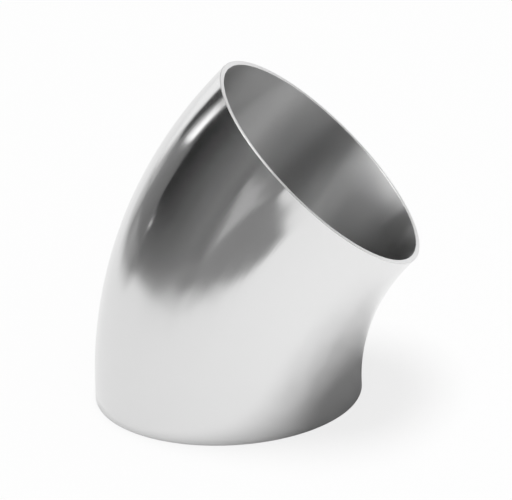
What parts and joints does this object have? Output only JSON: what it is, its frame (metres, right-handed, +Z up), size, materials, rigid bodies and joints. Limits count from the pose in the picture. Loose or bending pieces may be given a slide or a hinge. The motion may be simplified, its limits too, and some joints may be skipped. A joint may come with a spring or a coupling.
{
  "type": "sanitary forty-five degree elbow",
  "caption": "Thin-walled polished stainless bend that turns a hygienic pipeline by forty-five degrees, with plain square ends for butt welding.",
  "frame": {"origin": "centre of the lower end face, which is the face that the elbow stands on", "axes": "+Z up the axis of the lower end, into the elbow; the bend leans towards +X, so the XZ plane is the elbow's mirror plane and +Y is square to it"},
  "size_m": [0.1252, 0.1016, 0.1291],
  "materials": {
    "polished_stainless": "polished"
  },
  "bodies": {
    "root": {"elbow": "polished_stainless"}
  },
  "joints": []
}
